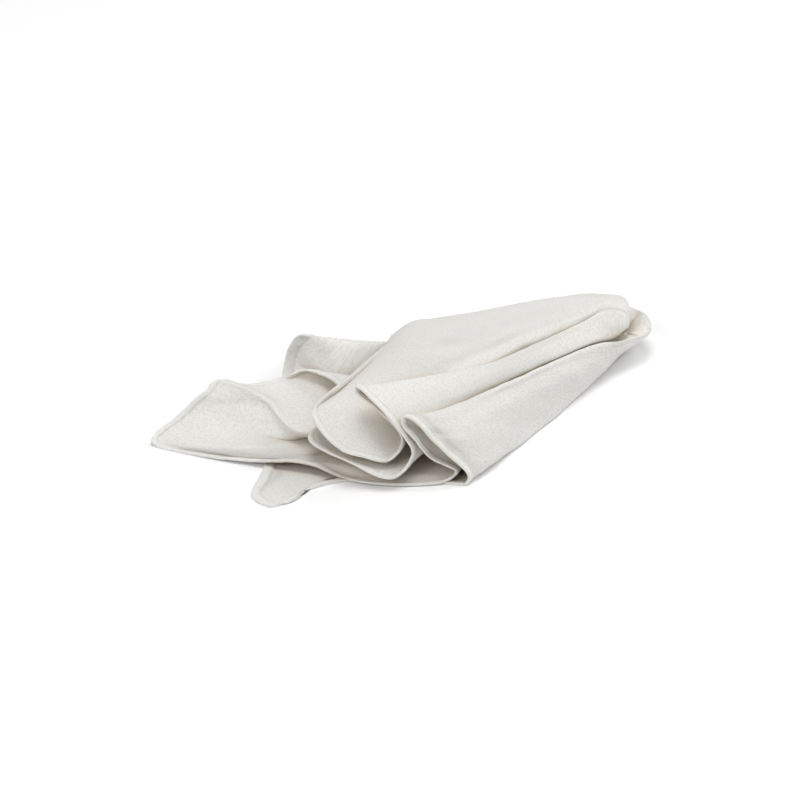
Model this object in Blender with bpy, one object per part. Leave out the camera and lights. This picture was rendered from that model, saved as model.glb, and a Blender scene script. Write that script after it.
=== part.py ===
"""Straining cloth: one square of unbleached cotton, picked up near its middle and laid down.

Units are millimetres in the tables below and metres in the model, +Z up.
The cloth is one sheet. It runs from the gathered middle, on the right at the back,
to its hem, which splays out to the left. A fold line is a row of the FOLDS table:
where it meets the hem, where it lies on the flap just inside the hem, and where it
passes through two sections across the gathered part, the shoulder and the neck.
"""

import math

import bmesh
import bpy
from mathutils import Vector

MM = 0.001

# The cloth
THICKNESS = 1.2
CLOTH_COLOUR = (0.79, 0.76, 0.71, 1.0)
CLOTH_ROUGHNESS = 0.92

# The gathered middle, and the two sections across it. A section is an arc about the
# middle: "around" is the length along the arc from the front foot, "height" is over the floor.
MIDDLE = (232.0, 270.0)
SHOULDER_RADIUS = 215.0
SHOULDER_FRONT_BEARING = math.radians(59.5)
NECK_RADIUS = 85.0
NECK_FRONT_BEARING = math.radians(56.0)

# How finely the sheet is made
STEPS_PER_FOLD = 3
STEPS_ALONG = 15
FLOOR_LAYER = THICKNESS / 2

# Each row is a line from the hem to the middle, in order round the hem.
# name, hem (x, y, z), flap (x, y, z) or None, shoulder (around, height), neck (around, height)
FOLDS = [
    ("top crest", (-13, 113, 95), (12, 140, 104), (105, 97), (50, 75)),
    ("top front", (-48, 77, 80), (-4, 108, 93), (84, 92), (38, 72)),
    ("corner by the top", (-85, 38, 62), (-20, 72, 75), (68, 84), (29, 67)),
    ("tongue", (-58, -5, 45), (-12, 47, 61), (57, 75), (23, 63)),
    ("first valley", (-12, 3, 27), (14, 43, 45), (47, 69), (17, 58)),
    ("first valley rise", (2, 13, 45), (20, 50, 54), (44.5, 70), (16.2, 58.2)),
    ("first ridge rise", (-22, 28, 70), (14, 58, 70), (43.2, 72.5), (15.2, 59.5)),
    ("first ridge inside", (-42, 38, 83), (3, 59, 80), (41.5, 76), (13.6, 61)),
    ("first ridge", (-43, 35, 92), (2, 57.5, 85.5), (39.5, 78), (12, 61.8)),
    ("first ridge outside", (-19, 14, 80), (19, 41.5, 75), (33, 74), (8, 58)),
    ("second lap", (2, 5, 55), (35, 35, 58), (28, 60.5), (1.5, 48)),
    ("roll bulge", (12, 7, 32), (42, 38, 36), (31, 47), (3.5, 41)),
    ("roll bottom", (-8, -7, 14), (28, 40, 24), (40, 38), (8.5, 36.5)),
    ("band", (-48, 10, 22), (0, 58, 26), (58, 35), (20, 34)),
    ("band end", (-89, 43, 30), (-32, 80, 30), (82, 37), (34, 36)),
    ("return", (-66, 78, 36), (-20, 112, 38), (104, 41), (46, 38)),
    ("back fold", (-58, 114, 44), (-2, 152, 44), (150, 41), (70, 35)),
    ("left flap back rim", (-91, 146, 46), (-14, 148, 34), (144, 31), (66, 28)),
    ("left flap back", (-114, 149, 36), (-46, 122, 28), (112, 29), (46, 28)),
    ("left flap rise", (-147, 131, 38), (-76, 96, 27), (86, 28), (30, 27.5)),
    ("left flap crest", (-180, 122, 48), (-106, 64, 33), (74, 25.5), (22, 24.5)),
    ("left flap lip", (-188, 116, 41), (-107, 66, 29), (70, 22), (19, 21.5)),
    ("left flap hollow", (-192, 114.5, 38.5), (-107.5, 69, 25.6), (100, 22.6), (26, 21.2)),
    ("tuck over", (-196, 113, 36), (-108, 62, 22.5), (126, 23.5), (33, 21)),
    ("tuck under", (-204, 109, 30), (-110, 60, 19), (124, 19.5), (32, 17)),
    ("left flap fall", (-214, 103, 22), (-118, 58, 15), (64, 15.5), (17, 15.5)),
    ("left corner", (-241, 82, 3), (-124, 54, 9), (58, 11.5), (16, 13.5)),
    ("left flap front", (-198, 59, 2), (-108, 46, 8), (54, 11), (14.5, 12.5)),
    ("left flap swell", (-130, 36, 8), (-80, 36, 13), (47, 10), (13, 11.5)),
    ("swell end", (-92, 25, 12), (-52, 28, 13), (40, 10), (11, 11)),
    ("front edge", (-54, 10, 4), (-22, 22, 9), (33, 10), (9, 10.5)),
    ("front edge middle", (-14, 0, 3), (15, 22, 8), (26, 10), (7.5, 10.5)),
    ("inner lap turn", (43, 4, 4), (62, 24, 9), (17, 12), (5.5, 12)),
    ("inner lap bulge", (54, 9, 12), (66, 30, 18), (14, 20), (4, 18)),
    ("inner lap", (29, 9, 27), (57, 36, 34), (19, 36), (3, 27)),
    ("inner lap rise", (14, 5, 50), (43, 35, 51), (24, 50), (0, 36)),
    ("second ridge inside", (2, 7, 64), (37, 31, 62), (26, 55), (-2.5, 40)),
    ("second ridge", (3, 9, 73), (37, 30, 67.5), (24.5, 59), (-5, 42.5)),
    ("second ridge round", (11, 8, 71), (43, 29, 65.5), (21.5, 58.5), (-7.5, 41)),
    ("second ridge outside", (24, 6, 58), (54, 27, 56), (19, 54), (-9, 37)),
    ("third lap", (43, 5, 36), (71, 24, 37), (10, 38), (-11, 27)),
    ("front foot", (66, 3, 10), (86, 25, 12), (2, 14), (-7, 10)),
    ("front turn", (60, 2, 0), (80, 32, 1), (2, 1), (-2, 1)),
    ("under front", (0, 12, 0), (40, 50, 0), (24, 0), (14, 0)),
    ("under", (-58, 8, 0), (-6, 48, 0), (46, 0), (26, 0)),
    ("small flap edge", (-92, -10, 0), (-35, 40, 0), (64, 0), (36, 0)),
    ("small flap corner", (-124, -40, 0), (-56, 42, 0), (80, 0), (45, 0)),
    ("small flap turn", (-143, -21, 0), (-68, 58, 0), (95, 0), (53, 0)),
    ("small flap side", (-136, 15, 0), (-75, 78, 0), (112, 0), (62, 0)),
    ("under left", (-129, 47, 0), (-76, 100, 0), (132, 0), (74, 0)),
    ("under back", (-122, 106, 0), (-62, 132, 0), (146, 0), (81, 0)),
    ("pleat start", (-117, 144, 0.5), (-42, 160, 0.5), (166, 0.5), (89, 0.5)),
    ("pleat turn", (-112, 148, 5.5), (-40, 162, 6.5), (167, 6.5), (92, 5)),
    ("pleat inside", (-60, 98, 4.5), (-16, 112, 5.5), (80, 5.5), (89, 7)),
    ("pleat inside turn", (-57, 101, 9.5), (-14, 115, 9), (79, 9), (88.5, 9.5)),
    ("pleat return", (-100, 164, 12), (-38, 171, 13.5), (158, 13), (91, 12)),
    ("back flap foot", (-114, 190, 10), (-60, 181, 12.5), (166, 12), (94, 12.5)),
    ("back flap side", (-111, 202, 28), (-66, 190, 20), (171, 16.5), (95.5, 15)),
    ("back flap hollow", (-107.5, 205, 39), (-71, 197, 31), (176, 20.5), (97.4, 17.3)),
    ("back flap crest", (-101, 206.5, 48.5), (-67, 170, 36), (174, 27), (97, 21)),
    ("back flap top", (-95, 206, 51), (-50, 188, 54), (178, 33.5), (99, 24.5)),
    ("back flap fall", (-88, 236, 28), (-34, 212, 36), (189, 18), (104, 16)),
    ("hidden corner", (-86, 274, 3), (-28, 254, 8), (200, 6), (112, 9)),
    ("back foot", (-30, 268, 2), None, (222, 3), (121, 10)),
    ("back turn", (4, 278, 8), None, (238, 9), (127, 15)),
    ("back lap", (2, 258, 25), None, (228, 24), (123, 24)),
    ("back ridge", (-4, 240, 33), None, (214, 34), (115, 31)),
    ("upper back lap", (-4, 204, 50), None, (180, 47), (98, 40)),
    ("upper back ridge", (-9, 184, 61), None, (162, 62), (89, 48)),
    ("upper back valley", (0, 164, 56), None, (150, 58), (80, 48)),
    ("top back", (-8, 134, 88), None, (124, 86), (63, 64)),
]

# The end of the gathered part: the rounded end of the top laps, and the third lap's rim
# that goes round it. fold line's name, collar (x, y, z), rim (x, y, z)
END = [
    ("top crest", (200, 274, 57), (220, 277, 50)),
    ("corner by the top", (205, 262, 59), (223, 267, 48)),
    ("first valley", (206, 252, 57), (223, 260, 45)),
    ("first ridge", (203, 243, 56), (223, 255, 42)),
    ("second lap", (198, 233, 46), (223, 249, 38)),
    ("roll bottom", (198, 237, 40), (221, 249, 36)),
    ("back fold", (201, 243, 34.5), (220, 249.5, 33.5)),
    ("left flap crest", (203, 241, 29), (220, 249, 31)),
    ("tuck under", (204, 239, 25), (221, 248, 29.5)),
    ("front edge", (206, 235, 19), (222, 246, 27.5)),
    ("inner lap", (209, 229, 24), (226, 244, 26.5)),
    ("second ridge inside", (214, 224, 32), (230, 242, 29)),
    ("second ridge", (218.5, 221, 35), (234.5, 239, 32)),
    ("second ridge outside", (224, 226, 30), (239.5, 242, 31)),
    ("third lap", (222, 235, 19), (242, 247, 29)),
    ("front turn", (217, 252, 5), (244, 254, 28)),
    ("small flap corner", (226, 270, 4), (244, 263, 29)),
    ("under back", (231, 282, 6), (242, 270, 32)),
    ("back flap side", (229.3, 288.3, 14.5), (238.5, 276.5, 33.6)),
    ("hidden corner", (224.5, 292.5, 26), (235, 280, 36.5)),
    ("back ridge", (214, 294, 40), (230, 283, 39.5)),
    ("upper back ridge", (206, 287, 49), (225, 281.8, 43.5)),
]
END_CENTRE = (231, 262, 32)


def section_point(radius, front_bearing, around, height):
    """A point on a section about the gathered middle, from its place along the arc."""
    bearing = front_bearing - around / radius
    x = MIDDLE[0] - radius * math.cos(bearing)
    y = MIDDLE[1] - radius * math.sin(bearing)
    return Vector((x, y, height))


def curve_point(before, start, end, after, share):
    """A point on a smooth curve between start and end, whose speeds follow the spacing."""
    first = max((start - before).length, 1e-6) ** 0.5
    span = max((end - start).length, 1e-6) ** 0.5
    last = max((after - end).length, 1e-6) ** 0.5
    leave = (start - before) / first - (end - before) / (first + span) + (end - start) / span
    arrive = (end - start) / span - (after - start) / (span + last) + (after - end) / last
    square, cube = share * share, share ** 3
    return (
        start * (2 * cube - 3 * square + 1)
        + leave * (span * (cube - 2 * square + share))
        + end * (3 * square - 2 * cube)
        + arrive * (span * (cube - square))
    )


def closed_curve(points, steps):
    """Points along a smooth closed curve, with so many steps between each two given points."""
    count = len(points)
    result = []
    for index in range(count):
        before, start = points[index - 1], points[index]
        end, after = points[(index + 1) % count], points[(index + 2) % count]
        for step in range(steps):
            result.append(curve_point(before, start, end, after, step / steps))
    return result


def open_curve(points, steps):
    """Points at even distances along a smooth curve through the given points."""
    fine = []
    for index in range(len(points) - 1):
        before = points[index - 1] if index else points[0] * 2 - points[1]
        after = points[index + 2] if index + 2 < len(points) else points[-1] * 2 - points[-2]
        for step in range(12):
            fine.append(curve_point(before, points[index], points[index + 1], after, step / 12))
    fine.append(points[-1].copy())
    lengths = [0.0]
    for start, end in zip(fine, fine[1:]):
        lengths.append(lengths[-1] + (end - start).length)
    result = []
    index = 0
    for step in range(steps + 1):
        wanted = lengths[-1] * step / steps
        while index < len(fine) - 2 and lengths[index + 1] < wanted:
            index += 1
        share = (wanted - lengths[index]) / max(lengths[index + 1] - lengths[index], 1e-9)
        result.append(fine[index].lerp(fine[index + 1], min(max(share, 0.0), 1.0)))
    return result


def end_columns():
    """The collar and rim point of every fold line, spread evenly between the END rows."""
    names = [row[0] for row in FOLDS]
    count = len(FOLDS)
    places = [names.index(row[0]) for row in END]
    columns = []
    for column in (1, 2):
        points = [Vector(row[column]) for row in END]
        filled = [None] * count
        for index, place in enumerate(places):
            following = (index + 1) % len(END)
            gap = (places[following] - place) % count
            before, after = points[index - 1], points[(index + 2) % len(END)]
            for step in range(gap):
                share = step / gap
                filled[(place + step) % count] = curve_point(
                    before, points[index], points[following], after, share
                )
        columns.append(filled)
    return columns


def sheet_points():
    """Rows of points from the hem to the middle, one row for each step round the hem."""
    hem = [Vector(row[1]) for row in FOLDS]
    shoulder = [
        section_point(SHOULDER_RADIUS, SHOULDER_FRONT_BEARING, *row[3]) for row in FOLDS
    ]
    neck = [section_point(NECK_RADIUS, NECK_FRONT_BEARING, *row[4]) for row in FOLDS]
    flap = [
        Vector(row[2]) if row[2] else edge.lerp(inner, 0.5)
        for row, edge, inner in zip(FOLDS, hem, shoulder)
    ]
    collar, rim = end_columns()
    rounds = [
        closed_curve(station, STEPS_PER_FOLD)
        for station in (hem, flap, shoulder, neck, collar, rim)
    ]
    centre = Vector(END_CENTRE)
    rows = []
    for around in zip(*rounds):
        row = open_curve(list(around) + [centre], STEPS_ALONG)
        for point in row:
            point.z = max(point.z, FLOOR_LAYER)
        rows.append(row)
    return rows


def cloth_material():
    """Unbleached cotton."""
    material = bpy.data.materials.new("unbleached_cotton")
    material.use_nodes = True
    shader = material.node_tree.nodes["Principled BSDF"]
    shader.inputs["Base Color"].default_value = CLOTH_COLOUR
    shader.inputs["Roughness"].default_value = CLOTH_ROUGHNESS
    shader.inputs["Metallic"].default_value = 0.0
    return material


def make_cloth():
    """The sheet as one mesh, given its thickness by a Solidify modifier."""
    rows = sheet_points()
    lowest = [min(p[axis] for row in rows for p in row) for axis in (0, 1)]
    highest = [max(p[axis] for row in rows for p in row) for axis in (0, 1)]
    shift = Vector(((lowest[0] + highest[0]) / 2, (lowest[1] + highest[1]) / 2, 0))
    form = bmesh.new()
    grid = [[form.verts.new((p - shift) * MM) for p in row[:-1]] for row in rows]
    centre = form.verts.new((Vector(END_CENTRE) - shift) * MM)
    for index, row in enumerate(grid):
        following = grid[(index + 1) % len(grid)]
        for step in range(len(row) - 1):
            form.faces.new((row[step], row[step + 1], following[step + 1], following[step]))
        form.faces.new((row[-1], centre, following[-1]))
    bmesh.ops.recalc_face_normals(form, faces=form.faces)
    mesh = bpy.data.meshes.new("cloth")
    form.to_mesh(mesh)
    form.free()
    mesh.shade_smooth()
    cloth = bpy.data.objects.new("cloth", mesh)
    bpy.context.collection.objects.link(cloth)
    mesh.materials.append(cloth_material())
    wall = cloth.modifiers.new("thickness", "SOLIDIFY")
    wall.thickness = THICKNESS * MM
    wall.offset = 0.0
    return cloth


for leftover in list(bpy.data.objects):
    bpy.data.objects.remove(leftover)
make_cloth()
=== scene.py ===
"""Straining cloth, as it looks: a hemmed square of unbleached cotton, laid down in folds.

The tables are in millimetres and the model is in metres. The fold lines are those of the
packed cloth, some of them moved to look more like the cloth, and one added. The cloth is one
fine sheet on them, with a doubled hem, puckers along its stitching, soft creases, a plain
weave and the seed flecks of unbleached cotton.
"""

import math

import bmesh
import bpy
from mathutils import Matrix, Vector, noise
from mathutils.bvhtree import BVHTree


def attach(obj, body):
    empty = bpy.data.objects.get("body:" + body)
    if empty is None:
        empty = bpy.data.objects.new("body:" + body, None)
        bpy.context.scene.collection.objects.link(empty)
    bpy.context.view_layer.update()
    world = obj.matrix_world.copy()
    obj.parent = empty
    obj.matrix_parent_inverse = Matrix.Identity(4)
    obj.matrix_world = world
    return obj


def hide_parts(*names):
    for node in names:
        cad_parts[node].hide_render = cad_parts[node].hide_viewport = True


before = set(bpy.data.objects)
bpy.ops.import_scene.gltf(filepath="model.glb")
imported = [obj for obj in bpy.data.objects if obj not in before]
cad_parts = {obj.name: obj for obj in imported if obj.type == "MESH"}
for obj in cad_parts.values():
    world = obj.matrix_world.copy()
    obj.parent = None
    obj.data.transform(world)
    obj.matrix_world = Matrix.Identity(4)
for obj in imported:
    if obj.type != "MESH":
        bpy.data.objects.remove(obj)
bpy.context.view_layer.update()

MM = 0.001

# The cloth
FLAT_SIDE = 700.0
CLOTH_THICKNESS = 0.8
HEM_THICKNESS = 2.8
# Width of the hem on the side that starts at each corner
HEM_WIDTHS = {
    "corner by the top": 6.5,
    "left corner": 6.5,
    "small flap corner": 11.0,
    "hidden corner": 6.5,
}

# The gathered middle, and the two sections across it. A section is an arc about the
# middle: "around" is the length along the arc from the front foot, "height" is over the floor.
MIDDLE = (232.0, 270.0)
SHOULDER_RADIUS = 215.0
SHOULDER_FRONT_BEARING = math.radians(59.5)
NECK_RADIUS = 85.0
NECK_FRONT_BEARING = math.radians(56.0)

# How finely the sheet is made. Stations across the hem are shares of its width, and the
# stitching runs along one of them.
STEPS_PER_FOLD = 8
STEPS_ALONG = 80
CURVE_STEPS = 12
STITCHED_AT = 0.93
HEM_STATIONS = (0.0, 0.12, 0.4, 0.72, STITCHED_AT, 1.06, 1.3)

# Points inside the hem that keep it even: how far in they lie, over how many rows they are
# averaged, how far from the flap to the shoulder they aim, and the rows where they only aim
HEM_GUIDE = 9.0
HEM_GUIDE_SPREAD = 4
HEM_GUIDE_AIM = 0.5
HEM_SLACK = ("left corner", "inner lap turn")

# Each row is a line from the hem to the middle, in order round the hem.
# name, hem (x, y, z), flap (x, y, z) or None, shoulder (around, height), neck (around, height)
FOLDS = [
    ("top crest", (-13, 113, 95), (12, 140, 104), (105, 97), (50, 75)),
    ("top front", (-48, 77, 80), (-4, 108, 93), (84, 92), (38, 72)),
    ("corner by the top", (-85, 46, 57.5), (-20, 72, 75), (68, 85.5), (29, 68)),
    ("tongue", (-58, 6, 38.5), (-12, 52, 58), (57.5, 79.5), (23, 65)),
    ("top lap edge", (-36, 1, 32.5), (2, 48, 52), (48.4, 72.8), (19, 60.8)),
    ("first valley", (-12, 3, 27), (14, 43, 45), (45.8, 66.5), (17, 55.5)),
    ("first valley rise", (2, 13, 45), (20, 50, 54), (44.6, 70.5), (16.2, 58.6)),
    ("first ridge rise", (-22, 28, 70), (14, 58, 70), (43.6, 73.6), (15.4, 60.5)),
    ("first ridge inside", (-42, 38, 83), (3, 59, 80), (42.3, 75.6), (14, 61.8)),
    ("first ridge", (-43, 35, 92), (2, 57.5, 85.5), (40, 76.6), (12.3, 62.3)),
    ("first ridge outside", (-19, 14, 80), (19, 41.5, 75), (33, 73.5), (8, 58)),
    ("second lap", (2, 5, 55), (35, 35, 58), (28, 60.5), (-1.2, 45.5)),
    ("roll bulge", (12, 7, 32), (42, 38, 36), (31, 47), (3.5, 41)),
    ("roll bottom", (-8, -7, 14), (28, 40, 24), (40, 38), (8.5, 36.5)),
    ("band", (-48, 3, 26), (0, 58, 26), (58, 35), (20, 34)),
    ("band end", (-89, 39, 32.3), (-32, 80, 30), (82, 37), (34, 36)),
    ("return", (-66, 78, 36), (-20, 112, 38), (104, 41), (46, 38)),
    ("back fold", (-58, 114, 44), (-2, 152, 44), (150, 41), (70, 35)),
    ("left flap back rim", (-91, 146, 46), (-14, 148, 34), (144, 31), (66, 28)),
    ("left flap back", (-114, 149, 36), (-46, 122, 28), (112, 29), (46, 28)),
    ("left flap rise", (-147, 131, 38), (-76, 96, 27), (86, 28), (30, 27.5)),
    ("left flap crest", (-180, 122, 48), (-96.5, 56, 29.5), (74, 25.5), (22, 24.5)),
    ("left flap lip", (-188, 116, 41), (-97, 57, 25.3), (70, 22), (19, 21.5)),
    ("left flap hollow", (-192, 114.5, 38.5), (-97.5, 60, 21.5), (100, 22.6), (26, 21.2)),
    ("tuck over", (-196, 113, 36), (-100, 62, 19), (126, 23.5), (33, 21)),
    ("tuck under", (-204, 109, 30), (-104, 63.5, 17), (124, 19.5), (32, 17)),
    ("left flap fall", (-214, 103, 22), (-116, 65, 15.5), (64, 15.5), (17, 15.5)),
    ("left corner", (-241, 82, 3), (-122, 55, 14), (58, 11.5), (16, 13.5)),
    ("left flap front", (-198, 59, 2), (-108, 45, 10.5), (54, 11), (14.5, 12.5)),
    ("left flap swell", (-130, 36, 8), (-80, 36, 13), (47, 10), (13, 11.5)),
    ("swell end", (-92, 25, 12), (-52, 28, 13), (40, 10), (11, 11)),
    ("front edge", (-54, 10, 4), (-22, 22, 9), (33, 10), (9, 10.5)),
    ("front edge middle", (-14, 0, 3), (15, 22, 8), (26, 10), (7.5, 10.5)),
    ("inner lap turn", (43, 4, 4), (62, 24, 9), (17, 12), (5.5, 12)),
    ("inner lap bulge", (54, 9, 12), (66, 30, 18), (14, 20), (4, 18)),
    ("inner lap", (29, 9, 27), (57, 36, 34), (19, 36), (3, 27)),
    ("inner lap rise", (14, 5, 50), (43, 35, 51), (24, 50), (0, 36)),
    ("second ridge inside", (2, 7, 64), (37, 31, 62), (26, 55), (-3.4, 42)),
    ("second ridge", (3, 9, 73), (37, 30, 67.5), (24.5, 59), (-4.6, 45)),
    ("second ridge round", (11, 8, 71), (43, 29, 65.5), (21.5, 58.5), (-7, 43.5)),
    ("second ridge outside", (24, 6, 58), (54, 27, 56), (19, 54), (-9, 38)),
    ("third lap", (43, 5, 36), (71, 24, 37), (10, 38), (-11, 27)),
    ("front foot", (66, 3, 10), (86, 25, 12), (2, 14), (-7, 10)),
    ("front turn", (60, 2, 0), (80, 32, 1), (2, 1), (-2, 1)),
    ("under front", (0, 12, 0), (40, 50, 0), (24, 0), (14, 0)),
    ("under", (-58, 8, 0), (-6, 48, 0), (46, 0), (26, 0)),
    ("small flap edge", (-92, -10, 0), (-35, 40, 0), (64, 0), (36, 0)),
    ("small flap corner", (-124, -40, 0), (-56, 42, 0), (80, 0), (45, 0)),
    ("small flap turn", (-143, -21, 0), (-68, 58, 0), (95, 0), (53, 0)),
    ("small flap side", (-136, 15, 0), (-75, 78, 0), (112, 0), (62, 0)),
    ("under left", (-129, 47, 0), (-76, 100, 0), (132, 0), (74, 0)),
    ("under back", (-122, 106, 0), (-62, 132, 0), (146, 0), (81, 0)),
    ("pleat start", (-117, 144, 0.5), (-42, 160, 0.5), (166, 0.5), (89, 0.5)),
    ("pleat turn", (-112, 148, 5.5), (-40, 162, 6.5), (167, 6.5), (92, 5)),
    ("pleat inside", (-60, 98, 4.5), (-16, 112, 5.5), (80, 5.5), (89, 7)),
    ("pleat inside turn", (-57, 101, 9.5), (-14, 115, 9), (79, 9), (88.5, 9.5)),
    ("pleat return", (-100, 164, 12), (-38, 171, 13.5), (158, 13), (91, 12)),
    ("back flap foot", (-114, 190, 10), (-60, 181, 12.5), (166, 12), (94, 12.5)),
    ("back flap side", (-111, 202, 28), (-80, 193, 14.5), (171, 16.5), (95.5, 15)),
    ("back flap hollow", (-107.5, 205, 39), (-75, 187, 17.5), (176, 21), (97.5, 17.7)),
    ("back flap crest", (-101, 206.5, 48.5), (-61, 168, 21), (174, 27), (97, 21)),
    ("back flap top", (-95, 206, 51), (-50, 196, 49.5), (178, 33.5), (99, 24.5)),
    ("back flap fall", (-88, 236, 28), (-34, 212, 36), (189, 18), (104, 16)),
    ("hidden corner", (-86, 274, 3), (-28, 254, 8), (200, 6), (112, 9)),
    ("back foot", (-30, 268, 2), None, (222, 3), (121, 10)),
    ("back turn", (4, 278, 8), None, (238, 9), (127, 15)),
    ("back lap", (2, 258, 25), None, (228, 24), (123, 24)),
    ("back ridge", (-4, 240, 33), None, (214, 34), (115, 31)),
    ("upper back lap", (-4, 204, 50), None, (180, 47), (98, 40)),
    ("upper back ridge", (-9, 184, 61), None, (162, 62), (89, 48)),
    ("upper back valley", (0, 164, 56), None, (150, 58), (80, 48)),
    ("top back", (-8, 134, 88), None, (124, 86), (63, 64)),
]

# Where a fold line bends between the hem and the flap
BENDS = {
    "left flap crest": (-134, 102, 41.5),
    "left flap lip": (-137, 103, 36.5),
    "left flap hollow": (-142, 102, 31),
    "tuck over": (-148, 98, 25),
    "tuck under": (-156, 93, 18),
    "left flap fall": (-164, 84, 12.5),
    "back flap side": (-97, 199, 22),
    "back flap hollow": (-93, 200, 30),
    "back flap crest": (-76, 190, 34.5),
}

# The end of the gathered part: the rounded end of the top laps, and the third lap's rim
# that goes round it. fold line's name, collar (x, y, z), rim (x, y, z)
END = [
    ("top crest", (201, 274, 57.5), (220, 275, 51)),
    ("corner by the top", (207, 262, 60), (223, 266, 48.5)),
    ("first valley", (207, 252, 57), (223.5, 259, 44)),
    ("first ridge", (203, 243, 56), (223, 255, 42)),
    ("second lap", (209.5, 233.8, 33), (222, 247.5, 36.3)),
    ("roll bottom", (206, 237, 30), (220.7, 248, 33.8)),
    ("back fold", (202.5, 243, 28.3), (219.2, 249.2, 31.8)),
    ("left flap crest", (203.5, 241.3, 24.3), (219.5, 248.8, 29.8)),
    ("tuck under", (204.7, 239.3, 21), (220.5, 247.8, 28.2)),
    ("front edge", (206.5, 235.3, 16.7), (222, 246, 26.7)),
    ("inner lap", (209.2, 229, 22.6), (226, 244, 26)),
    ("second ridge inside", (214, 224, 31.5), (230, 242, 28)),
    ("second ridge", (218.5, 221, 36.5), (234.5, 239, 32)),
    ("second ridge outside", (224, 226, 30), (239.5, 242, 31)),
    ("third lap", (222, 235, 19), (242, 247, 29)),
    ("front turn", (217, 252, 5), (244, 254, 28)),
    ("small flap corner", (226, 270, 4), (244, 263, 29)),
    ("under back", (231, 282, 6), (242, 270, 32)),
    ("back flap side", (229, 289, 16), (238, 277, 34)),
    ("hidden corner", (224.5, 292.5, 24), (235, 280, 34)),
    ("back ridge", (214, 294, 36), (229, 283, 33)),
    ("upper back ridge", (206, 287, 46), (218.5, 281.8, 40)),
]
END_CENTRE = (217, 261, 22)


def section_point(radius, front_bearing, around, height):
    """A point on a section about the gathered middle, from its place along the arc."""
    bearing = front_bearing - around / radius
    x = MIDDLE[0] - radius * math.cos(bearing)
    y = MIDDLE[1] - radius * math.sin(bearing)
    return Vector((x, y, height))


def curve_point(before, start, end, after, share):
    """A point on a smooth curve between start and end, whose speeds follow the spacing."""
    first = max((start - before).length, 1e-6) ** 0.5
    span = max((end - start).length, 1e-6) ** 0.5
    last = max((after - end).length, 1e-6) ** 0.5
    leave = (start - before) / first - (end - before) / (first + span) + (end - start) / span
    arrive = (end - start) / span - (after - start) / (span + last) + (after - end) / last
    square, cube = share * share, share ** 3
    return (
        start * (2 * cube - 3 * square + 1)
        + leave * (span * (cube - 2 * square + share))
        + end * (3 * square - 2 * cube)
        + arrive * (span * (cube - square))
    )


def closed_curve(points, steps):
    """Points along a smooth closed curve, with so many steps between each two given points."""
    count = len(points)
    result = []
    for index in range(count):
        before, start = points[index - 1], points[index]
        end, after = points[(index + 1) % count], points[(index + 2) % count]
        for step in range(steps):
            result.append(curve_point(before, start, end, after, step / steps))
    return result


def open_curve(points, first_lengths, steps):
    """Points along a smooth curve: at the first lengths, then evenly spread to its end."""
    fine = []
    for index in range(len(points) - 1):
        before = points[index - 1] if index else points[0] * 2 - points[1]
        after = points[index + 2] if index + 2 < len(points) else points[-1] * 2 - points[-2]
        for step in range(CURVE_STEPS):
            share = step / CURVE_STEPS
            fine.append(curve_point(before, points[index], points[index + 1], after, share))
    fine.append(points[-1].copy())
    lengths = [0.0]
    for start, end in zip(fine, fine[1:]):
        lengths.append(lengths[-1] + (end - start).length)
    rest = lengths[-1] - first_lengths[-1]
    wanted = list(first_lengths)
    wanted += [first_lengths[-1] + rest * (step + 1) / steps for step in range(steps)]
    result = []
    index = 0
    for length in wanted:
        while index < len(fine) - 2 and lengths[index + 1] < length:
            index += 1
        share = (length - lengths[index]) / max(lengths[index + 1] - lengths[index], 1e-9)
        result.append(fine[index].lerp(fine[index + 1], min(max(share, 0.0), 1.0)))
    return result, [length / lengths[-1] for length in wanted]


def end_columns():
    """The collar and rim point of every fold line, spread evenly between the END rows."""
    names = [row[0] for row in FOLDS]
    count = len(FOLDS)
    places = [names.index(row[0]) for row in END]
    columns = []
    for column in (1, 2):
        points = [Vector(row[column]) for row in END]
        filled = [None] * count
        for index, place in enumerate(places):
            following = (index + 1) % len(END)
            gap = (places[following] - place) % count
            before, after = points[index - 1], points[(index + 2) % len(END)]
            for step in range(gap):
                share = step / gap
                filled[(place + step) % count] = curve_point(
                    before, points[index], points[following], after, share
                )
        columns.append(filled)
    return columns


def hem_places():
    """For each row: its point on the flat square's edge, and the width of the hem there."""
    hem = closed_curve([Vector(row[1]) for row in FOLDS], STEPS_PER_FOLD)
    names = [row[0] for row in FOLDS]
    corners = list(HEM_WIDTHS)
    starts = [names.index(name) * STEPS_PER_FOLD for name in corners]
    half = FLAT_SIDE / 2
    turns = ((1, 1), (-1, 1), (-1, -1), (1, -1))
    square = [Vector((half * x, half * y)) for x, y in turns]
    places = [None] * len(hem)
    for side, start in enumerate(starts):
        following = (side + 1) % len(starts)
        count = (starts[following] - start) % len(hem)
        lengths = [0.0]
        for step in range(count):
            here, there = hem[(start + step) % len(hem)], hem[(start + step + 1) % len(hem)]
            lengths.append(lengths[-1] + (there - here).length)
        for step in range(count):
            share = lengths[step] / lengths[-1]
            edge = square[side].lerp(square[following], share)
            before = HEM_WIDTHS[corners[side - 1]]
            width = HEM_WIDTHS[corners[side]]
            blend = min(1.0, 0.5 + lengths[step] / (4 * width))
            places[(start + step) % len(hem)] = (edge, before + (width - before) * blend)
    return places


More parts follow.
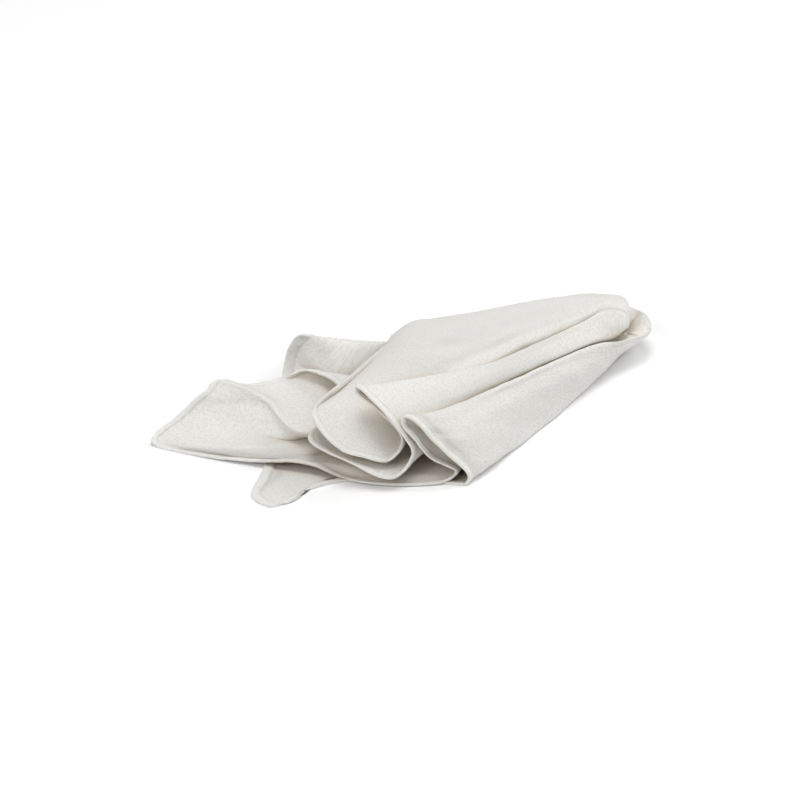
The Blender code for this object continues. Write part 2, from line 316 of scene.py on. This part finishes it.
def hem_guides(hem, inside):
    """Points just inside the hem, square to it where it runs straight, so its width is even."""
    names = [row[0] for row in FOLDS]
    slack_from, slack_to = (names.index(name) * STEPS_PER_FOLD for name in HEM_SLACK)
    leans = []
    count = len(hem)
    for index, (edge, inner) in enumerate(zip(hem, inside)):
        heading = (hem[(index + 1) % count] - hem[index - 1]).normalized()
        before = (hem[index - 3] - hem[index - 6]).normalized()
        after = (hem[(index + 6) % count] - hem[(index + 3) % count]).normalized()
        straight = max(before.dot(after), 0.0) ** 3 * (index < slack_from or index >= slack_to)
        inwards = inner - edge
        square = (inwards - heading * inwards.dot(heading)).normalized()
        leans.append(inwards.normalized().lerp(square, straight).normalized())
    guides = []
    for index, edge in enumerate(hem):
        lean = Vector((0, 0, 0))
        for step in range(-HEM_GUIDE_SPREAD, HEM_GUIDE_SPREAD + 1):
            lean += leans[(index + step) % count]
        guides.append(edge + lean.normalized() * HEM_GUIDE)
    return guides


def sheet_rows():
    """The smooth sheet: rows of points from hem to middle, and each point's flat place."""
    hem = [Vector(row[1]) for row in FOLDS]
    shoulder = [
        section_point(SHOULDER_RADIUS, SHOULDER_FRONT_BEARING, *row[3]) for row in FOLDS
    ]
    neck = [section_point(NECK_RADIUS, NECK_FRONT_BEARING, *row[4]) for row in FOLDS]
    flap = [
        Vector(row[2]) if row[2] else edge.lerp(inner, 0.5)
        for row, edge, inner in zip(FOLDS, hem, shoulder)
    ]
    bend = []
    for row, edge, middle, inner in zip(FOLDS, hem, flap, shoulder):
        half_way = curve_point(edge * 2 - middle, edge, middle, inner, 0.5)
        bend.append(Vector(BENDS.get(row[0], half_way)))
    collar, rim = end_columns()
    rounds = [
        closed_curve(station, STEPS_PER_FOLD)
        for station in (hem, bend, flap, shoulder, neck, collar, rim)
    ]
    centre = Vector(END_CENTRE)
    rows = []
    flats = []
    inside = [out.lerp(inner, HEM_GUIDE_AIM) for out, inner in zip(rounds[2], rounds[3])]
    guides = hem_guides(rounds[0], inside)
    for around, guide, (edge, width) in zip(zip(*rounds), guides, hem_places()):
        first = [share * width for share in HEM_STATIONS]
        line = [around[0], guide] + list(around[1:]) + [centre]
        row, shares = open_curve(line, first, STEPS_ALONG)
        rows.append(row)
        flats.append([edge * (1 - share) for share in shares])
    return rows, flats


def grid_normals(rows):
    """The sheet's unit normal at each point, from its neighbours along and across."""
    normals = []
    for index, row in enumerate(rows):
        before, after = rows[index - 1], rows[(index + 1) % len(rows)]
        line = []
        for step, point in enumerate(row):
            along = row[min(step + 1, len(row) - 1)] - row[max(step - 1, 0)]
            normal = (after[step] - before[step]).cross(along)
            line.append(normal.normalized() if normal.length > 1e-9 else Vector((0, 0, 1)))
        normals.append(line)
    return normals


# Puckers along the stitching, deeper at the corners, and the cloth's own small unevenness
PUCKER_PITCH = 6.0
PUCKER_HEIGHT = 0.5
PUCKER_REACH = 13.0
CORNER_PUCKER_HEIGHT = 1.1
CORNER_PUCKER_REACH = 30.0
UNEVEN_PITCH = 26.0
UNEVEN_HEIGHT = 0.75
EVEN_MIDDLE = 90.0
GROOVE_DEPTH = 0.55
# Close to the floor the puckers are flatter
FLOOR_REACH = 3.0
FLOOR_PUCKERS = 0.25

# Soft swells and dips across the cloth, along lines of places on the flat square.
# name, height over the first side, half width, places (x, y)
SWELLS = [
    ("left flap fold", 1.2, 9.0, [(-331, 339), (-284, 307), (-254, 290), (-236, 271), (-215, 240)]),
    ("top lap dip", -1.8, 13.0, [(238, 203), (192, 201), (160, 190), (129, 159)]),
    ("top lap swell", 1.2, 9.0, [(258, 232), (235, 232), (210, 235), (180, 228)]),
    ("third lap swell", 1.8, 9.0, [(-143, -38), (-189, -49), (-235, -61), (-286, -70), (-329, -84)]),
    ("third lap dip", -1.4, 10.0, [(-218, -87), (-275, -105), (-323, -114)]),
    ("third lap notch", -1.6, 5.0, [(-350, -84), (-330, -80), (-312, -78)]),
]


def swell_height(place):
    """How far the swells and dips lift the cloth at a place on the flat square."""
    height = 0.0
    for _, lift, half_width, line in SWELLS:
        nearest = 9e9
        for start, end in zip(line, line[1:]):
            start, end = Vector(start), Vector(end)
            span = end - start
            share = (place - start).dot(span) / span.length_squared
            nearest = min(nearest, (place - start - span * min(max(share, 0.0), 1.0)).length)
        if nearest < half_width * 3:
            height += lift * math.exp(-((nearest / half_width) ** 2))
    return height


def pucker_height(place):
    """The ridges that the stitching draws across the hem, at a place on the flat square."""
    half = FLAT_SIDE / 2
    far, near = max(abs(place.x), abs(place.y)), min(abs(place.x), abs(place.y))
    run = place.y if abs(place.x) > abs(place.y) else place.x
    inset = half - far
    corner = math.hypot(inset, half - near)
    ridge = noise.noise(Vector((run / PUCKER_PITCH, inset / 40.0, far - run)))
    height = ridge * PUCKER_HEIGHT * math.exp(-((inset / PUCKER_REACH) ** 2))
    reach = math.exp(-((corner / CORNER_PUCKER_REACH) ** 2))
    return height + ridge * CORNER_PUCKER_HEIGHT * reach


def worked_rows():
    """The sheet with its hem groove, puckers and unevenness, kept on or over the floor."""
    rows, flats = sheet_rows()
    normals = grid_normals(rows)
    stitch = HEM_STATIONS.index(STITCHED_AT)
    result = []
    for row, flat, line in zip(rows, flats, normals):
        worked = []
        for step, (point, place, normal) in enumerate(zip(row, flat, line)):
            along = Vector((place.x, place.y, 0.0))
            near_middle = min(1.0, place.length / EVEN_MIDDLE)
            uneven = noise.noise(along / UNEVEN_PITCH + Vector((7, 3, 1)))
            uneven += 0.5 * noise.noise(along / (UNEVEN_PITCH * 0.4))
            height = uneven * UNEVEN_HEIGHT * near_middle
            on_floor = FLOOR_PUCKERS if point.z < FLOOR_REACH else 1.0
            height += pucker_height(place) * on_floor + swell_height(place)
            moved = point + normal * height
            floor_gap = (HEM_THICKNESS if step <= stitch else CLOTH_THICKNESS) / 2
            moved.z = max(moved.z, floor_gap)
            worked.append(moved)
        result.append(worked)
    return result, flats


def make_cloth():
    """The fine sheet as one mesh, with its flat places as UVs, given its wall and doubled hem."""
    rows, flats = worked_rows()
    lowest = [min(p[axis] for row in rows for p in row) for axis in (0, 1)]
    highest = [max(p[axis] for row in rows for p in row) for axis in (0, 1)]
    shift = Vector(((lowest[0] + highest[0]) / 2, (lowest[1] + highest[1]) / 2, 0))
    form = bmesh.new()
    layer = form.loops.layers.uv.new("flat_place")
    weights = form.verts.layers.deform.new()
    # The stitching line, marked for the shade painted along it
    seam_shade = form.verts.layers.float.new("seam_shade")
    doubled = form.verts.layers.float.new("doubled_hem")
    places = {}
    grid = []
    hem_end = HEM_STATIONS.index(STITCHED_AT)
    for row, flat in zip(rows, flats):
        line = []
        for step, (point, place) in enumerate(zip(row[:-1], flat)):
            vertex = form.verts.new((point - shift) * MM)
            thick = 1.0 if step < hem_end else CLOTH_THICKNESS / HEM_THICKNESS
            if step == hem_end:
                thick = (CLOTH_THICKNESS - GROOVE_DEPTH) / HEM_THICKNESS
            vertex[weights][0] = thick
            vertex[seam_shade] = 1.0 if step == hem_end else 0.0
            vertex[doubled] = 1.0 if step < hem_end else 0.0
            places[vertex] = place * MM
            line.append(vertex)
        grid.append(line)
    centre = form.verts.new((Vector(END_CENTRE) - shift) * MM)
    centre[weights][0] = CLOTH_THICKNESS / HEM_THICKNESS
    places[centre] = Vector((0, 0))
    for index, row in enumerate(grid):
        following = grid[(index + 1) % len(grid)]
        for step in range(len(row) - 1):
            form.faces.new((row[step], following[step], following[step + 1], row[step + 1]))
        form.faces.new((row[-1], following[-1], centre))
    for face in form.faces:
        for corner in face.loops:
            corner[layer].uv = places[corner.vert]
    mesh = bpy.data.meshes.new("straining_cloth")
    form.to_mesh(mesh)
    form.free()
    mesh.shade_smooth()
    cloth = bpy.data.objects.new("straining_cloth", mesh)
    bpy.context.collection.objects.link(cloth)
    cloth.vertex_groups.new(name="doubled")
    wall = cloth.modifiers.new("wall", "SOLIDIFY")
    wall.thickness = HEM_THICKNESS * MM
    wall.offset = 0.0
    wall.vertex_group = "doubled"
    bpy.ops.object.select_all(action="DESELECT")
    bpy.context.view_layer.objects.active = cloth
    cloth.select_set(True)
    bpy.ops.object.modifier_apply(modifier="wall")
    for vertex in mesh.vertices:
        vertex.co.z = max(vertex.co.z, 0.0)
    return cloth, rows, shift


# Rays that leave each point of the cloth, to find how far its folds shut it in, for the shade painted
# into its colour
NOOK_RAYS = 20
NOOK_REACH = 0.11
NOOK_SMOOTHINGS = 3


def mark_nooks(cloth):
    """Each point's share of sky that the folds hide, as the attribute "nook"."""
    mesh = cloth.data
    places = [vertex.co.copy() for vertex in mesh.vertices]
    tree = BVHTree.FromPolygons(places, [tuple(face.vertices) for face in mesh.polygons])
    rays = []
    for index in range(NOOK_RAYS):
        lift = (index + 0.5) / NOOK_RAYS
        turn = index * math.pi * (3 - math.sqrt(5))
        flat = math.sqrt(lift)
        rays.append(Vector((flat * math.cos(turn), flat * math.sin(turn), math.sqrt(1 - lift))))
    nooks = []
    for vertex, place in zip(mesh.vertices, places):
        turned = vertex.normal.to_track_quat("Z", "Y").to_matrix()
        start = place + vertex.normal * 0.0005
        hidden = 0.0
        for ray in rays:
            length = tree.ray_cast(start, turned @ ray, NOOK_REACH)[3]
            if length is not None:
                hidden += 1 - length / NOOK_REACH
        nooks.append(hidden / NOOK_RAYS)
    edges = [tuple(edge.vertices) for edge in mesh.edges]
    for _ in range(NOOK_SMOOTHINGS):
        totals = list(nooks)
        counts = [1] * len(nooks)
        for first, second in edges:
            totals[first] += nooks[second]
            totals[second] += nooks[first]
            counts[first] += 1
            counts[second] += 1
        nooks = [total / count for total, count in zip(totals, counts)]
    layer = mesh.attributes.new("nook", "FLOAT", "POINT")
    layer.data.foreach_set("value", nooks)


# The stitching: a line of short threads along the hem, on both sides of the cloth
STITCH_PITCH = 2.9
STITCH_LENGTH = 2.1
STITCH_RADIUS = 0.24
STITCH_SIDES = 5


def make_stitches(rows, shift):
    """Short threads along the hem's inner edge, each sunk halfway into the cloth."""
    step = HEM_STATIONS.index(STITCHED_AT)
    line = [row[step] for row in rows]
    normals = [row[step] for row in grid_normals(rows)]
    form = bmesh.new()
    lead = 0.0
    for index, start in enumerate(line):
        end = line[(index + 1) % len(line)]
        span = end - start
        while lead < span.length:
            place = start.lerp(end, lead / span.length)
            normal = normals[index]
            heading = span.normalized()
            across = heading.cross(normal).normalized()
            normal = across.cross(heading)
            for side in (1, -1):
                middle = place + normal * (side * CLOTH_THICKNESS * 0.45)
                if middle.z < STITCH_RADIUS:
                    continue
                rings = []
                for share, size in ((-0.5, 0.35), (-0.25, 1.0), (0.25, 1.0), (0.5, 0.35)):
                    ring = []
                    for corner in range(STITCH_SIDES):
                        turn = 2 * math.pi * corner / STITCH_SIDES
                        out = across * math.cos(turn) + normal * math.sin(turn)
                        point = middle + heading * (share * STITCH_LENGTH)
                        point = point + out * (STITCH_RADIUS * size)
                        ring.append(form.verts.new((point - shift) * MM))
                    rings.append(ring)
                for ring, following in zip(rings, rings[1:]):
                    for corner in range(STITCH_SIDES):
                        turn = (corner + 1) % STITCH_SIDES
                        form.faces.new((ring[corner], ring[turn], following[turn], following[corner]))
                form.faces.new(list(reversed(rings[0])))
                form.faces.new(rings[-1])
            lead += STITCH_PITCH
        lead -= span.length
    bmesh.ops.recalc_face_normals(form, faces=form.faces)
    mesh = bpy.data.meshes.new("hem_stitches")
    form.to_mesh(mesh)
    form.free()
    mesh.shade_smooth()
    stitches = bpy.data.objects.new("hem_stitches", mesh)
    bpy.context.collection.objects.link(stitches)
    return stitches


class Wire:
    """An output of a shader node, with operators that add Math nodes."""

    def __init__(self, tree, socket):
        self.tree = tree
        self.socket = socket

    def maths(self, operation, *values):
        return add(self.tree, "Math", {"operation": operation}, dict(enumerate(values)))

    def __add__(self, other):
        return self.maths("ADD", self, other)

    __radd__ = __add__

    def __sub__(self, other):
        return self.maths("SUBTRACT", self, other)

    def __rsub__(self, other):
        return self.maths("SUBTRACT", other, self)

    def __mul__(self, other):
        return self.maths("MULTIPLY", self, other)

    __rmul__ = __mul__

    def kept(self, least, most):
        """The value, no less than the least and no more than the most."""
        return self.maths("MINIMUM", self.maths("MAXIMUM", self, least), most)


def add(tree, kind, settings=None, values=None, output=0):
    """A shader node: its settings are set first, then its sockets' values or links."""
    node = tree.nodes.new("ShaderNode" + kind)
    for name, value in (settings or {}).items():
        setattr(node, name, value)
    for name, value in (values or {}).items():
        if isinstance(value, Wire):
            tree.links.new(value.socket, node.inputs[name])
        else:
            node.inputs[name].default_value = value
    return Wire(tree, node.outputs[output])


def mixed(tree, share, first, second):
    """A colour between two others."""
    return add(tree, "Mix", {"data_type": "RGBA"}, {0: share, 6: first, 7: second}, output=2)


# The cotton: its thread, in metres, and its colours, with the painted shade and highlight that the
# sheet's colour is mixed towards
THREAD_PITCH = 0.00085
COTTON = (0.835, 0.83, 0.80, 1.0)
COTTON_WARM = (0.82, 0.80, 0.755, 1.0)
# Dull threads, and the painted shade along the stitching
COTTON_DULL_AND_SEAM_SHADE = (0.62, 0.61, 0.58, 1.0)
# Painted shade: a warm shade for the folds' nooks, and a darker one for the deepest
NOOK_PAINTED_SHADE = (0.76, 0.68, 0.56, 1.0)
DEEP_NOOK_PAINTED_SHADE = (0.50, 0.44, 0.36, 1.0)
# Pale slubs, and the painted highlight on the hem
SLUB_PALE_AND_HEM_HIGHLIGHT = (0.90, 0.895, 0.875, 1.0)
FLECK = (0.42, 0.34, 0.26, 1.0)


def stretch(tree, place, scale):
    """A place multiplied by a vector."""
    return add(tree, "VectorMath", {"operation": "MULTIPLY"}, {0: place, 1: scale})


def cotton_material(name, woven):
    """Unbleached cotton: a plain weave of uneven threads, with pale slubs and seed flecks. On the
    sheet, painted shade in the folds' nooks and along the stitching, and a painted highlight on the
    hem.
    """
    material = bpy.data.materials.new(name)
    material.use_nodes = True
    tree = material.node_tree
    shader = tree.nodes["Principled BSDF"]
    shader.inputs["Roughness"].default_value = 0.92
    shader.inputs["Specular IOR Level"].default_value = 0.15
    shader.inputs["Sheen Weight"].default_value = 0.25
    shader.inputs["Sheen Roughness"].default_value = 0.6
    if woven:
        place = add(tree, "UVMap", {"uv_map": "flat_place"})
    else:
        place = add(tree, "TexCoord", output=3)
    patches = add(
        tree, "TexNoise", None, {"Vector": place, "Scale": 38.0, "Detail": 3.0, "Roughness": 0.6}
    )
    colour = mixed(tree, patches, COTTON, COTTON_WARM)
    rough = {"Vector": place, "Detail": 2.0, "Roughness": 0.7}
    grains = [add(tree, "TexNoise", None, {**rough, "Scale": scale}) for scale in (420.0, 900.0)]
    grain = grains[0] * 0.55 + grains[1] * 0.45
    dull = ((grain - 0.46) * 5.0).kept(0.0, 1.0)
    colour = mixed(tree, dull * 0.8, colour, COTTON_DULL_AND_SEAM_SHADE)
    warps = stretch(tree, place, (1 / THREAD_PITCH, 26.0, 1.0))
    wefts = stretch(tree, place, (26.0, 1 / THREAD_PITCH, 1.0))
    flat = {"noise_dimensions": "2D"}
    even = {"Scale": 1.0, "Detail": 1.0}
    slubs = [add(tree, "TexNoise", flat, {**even, "Vector": threads}) for threads in (warps, wefts)]
    slub = slubs[0].maths("MAXIMUM", slubs[0], slubs[1])
    pale = slub.maths("MAXIMUM", (slub - 0.55) * 2.2, 0.0)
    colour = mixed(tree, pale * 0.6, colour, SLUB_PALE_AND_HEM_HIGHLIGHT)
    spots = {"Vector": place, "Scale": 150.0, "Randomness": 1.0}
    cells, lot = (
        add(tree, "TexVoronoi", {"voronoi_dimensions": "2D"}, spots, output=output)
        for output in (0, 1)
    )
    chance = add(tree, "SeparateColor", None, {0: lot})
    size = (chance - 0.6) * 0.14
    fleck = cells.maths("LESS_THAN", cells, size)
    colour = mixed(tree, fleck * 0.5, colour, FLECK)
    if woven:
        nook = add(tree, "Attribute", {"attribute_name": "nook"}, output=2)
        hem = add(tree, "Attribute", {"attribute_name": "doubled_hem"}, output=2)
        seam_shade = add(tree, "Attribute", {"attribute_name": "seam_shade"}, output=2)
        # Painted highlight: the doubled hem is made paler, for the light that its rolled edge catches
        colour = mixed(tree, hem * 0.35, colour, SLUB_PALE_AND_HEM_HIGHLIGHT)
        # Painted shade: the stitching line is darkened, for the shade of the groove at the hem's
        # inner edge
        colour = mixed(tree, seam_shade * 0.5, colour, COTTON_DULL_AND_SEAM_SHADE)
        # Painted shade: where the folds hide more of the sky, the colour goes towards a warm painted
        # shade, and in the deepest nooks towards a darker one
        nook_shade_share = ((nook - 0.1) * 1.5).kept(0.0, 0.6)
        colour = mixed(tree, nook_shade_share, colour, NOOK_PAINTED_SHADE)
        deep_nook_shade_share = ((nook - 0.4) * 2.0).kept(0.0, 0.7)
        colour = mixed(tree, deep_nook_shade_share, colour, DEEP_NOOK_PAINTED_SHADE)
    tree.links.new(colour.socket, shader.inputs["Base Color"])
    if woven:
        threads = {0: stretch(tree, place, (math.pi / THREAD_PITCH,) * 3)}
        over, across = (add(tree, "SeparateXYZ", None, threads, output=axis) for axis in (0, 1))
        weave = over.maths("SINE", over) * across.maths("SINE", across)
        height = weave * 0.35 + slub * 1.4 + grain * 4.5 + patches * 0.8
        bump = add(tree, "Bump", None, {"Height": height, "Strength": 0.9, "Distance": 0.0003})
        tree.links.new(bump.socket, shader.inputs["Normal"])
    return material


def make_camera(shift):
    """The photograph's view: from the front, 30 degrees up, through a long lens."""
    view_height = 84.0
    view_width = 772.0
    distance = 25000.0
    lift = math.radians(30)
    ahead = Vector((0, math.cos(lift), -math.sin(lift)))
    up = Vector((0, math.sin(lift), math.cos(lift)))
    lens = bpy.data.cameras.new("camera")
    lens.sensor_width = 36.0
    lens.lens = lens.sensor_width * distance / view_width
    camera = bpy.data.objects.new("camera", lens)
    bpy.context.collection.objects.link(camera)
    camera.location = (up * view_height - shift - ahead * distance) * MM
    camera.rotation_euler = (math.pi / 2 - lift, 0, 0)
    lens.clip_end = 100.0
    bpy.context.scene.camera = camera


def make_light(name, place, target, size, watts):
    """A square studio light that faces its target."""
    lamp = bpy.data.lights.new(name, "AREA")
    lamp.size = size
    lamp.energy = watts
    light = bpy.data.objects.new(name, lamp)
    bpy.context.collection.objects.link(light)
    light.location = place
    light.rotation_euler = (Vector(target) - Vector(place)).to_track_quat("-Z", "Y").to_euler()


# name, place in metres, watts
STUDIO_LIGHTS = [
    ("top_light", (0.0, 0.0, 4.8), 134.0),
    ("front_light", (0.0, -4.0, 3.0), 24.0),
    ("left_light", (-3.0, -3.0, 2.8), 100.0),
    ("right_light", (4.0, 0.0, 2.4), 58.0),
    ("back_light", (3.0, 2.6, 2.8), 72.0),
]
LIGHT_SIDE = 2.8


def make_studio():
    """A pale floor and soft light from above, from the front, from both sides and behind."""
    world = bpy.data.worlds.new("studio")
    bpy.context.scene.world = world
    world.use_nodes = True
    background = world.node_tree.nodes["Background"]
    background.inputs["Color"].default_value = (0.95, 0.98, 1.0, 1.0)
    background.inputs["Strength"].default_value = 0.05
    for name, place, watts in STUDIO_LIGHTS:
        make_light(name, place, (0, 0, 0), LIGHT_SIDE, watts)
    bpy.ops.object.select_all(action="DESELECT")
    bpy.ops.mesh.primitive_plane_add(size=8.0, location=(0, 0, 0))
    floor = bpy.context.object
    floor.name = "floor"
    paper = bpy.data.materials.new("studio_paper")
    paper.use_nodes = True
    shader = paper.node_tree.nodes["Principled BSDF"]
    shader.inputs["Base Color"].default_value = (0.98, 0.98, 0.98, 1.0)
    shader.inputs["Roughness"].default_value = 0.9
    floor.data.materials.append(paper)
    scene = bpy.context.scene
    scene.view_settings.view_transform = "Standard"


cloth, cloth_rows, cloth_shift = make_cloth()
mark_nooks(cloth)
cloth.data.materials.append(cotton_material("unbleached_cotton", woven=True))
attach(cloth, "root")
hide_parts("cloth")

stitches = make_stitches(cloth_rows, cloth_shift)
stitches.data.materials.append(cotton_material("cotton_thread", woven=False))
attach(stitches, "root")

make_camera(cloth_shift)
make_studio()
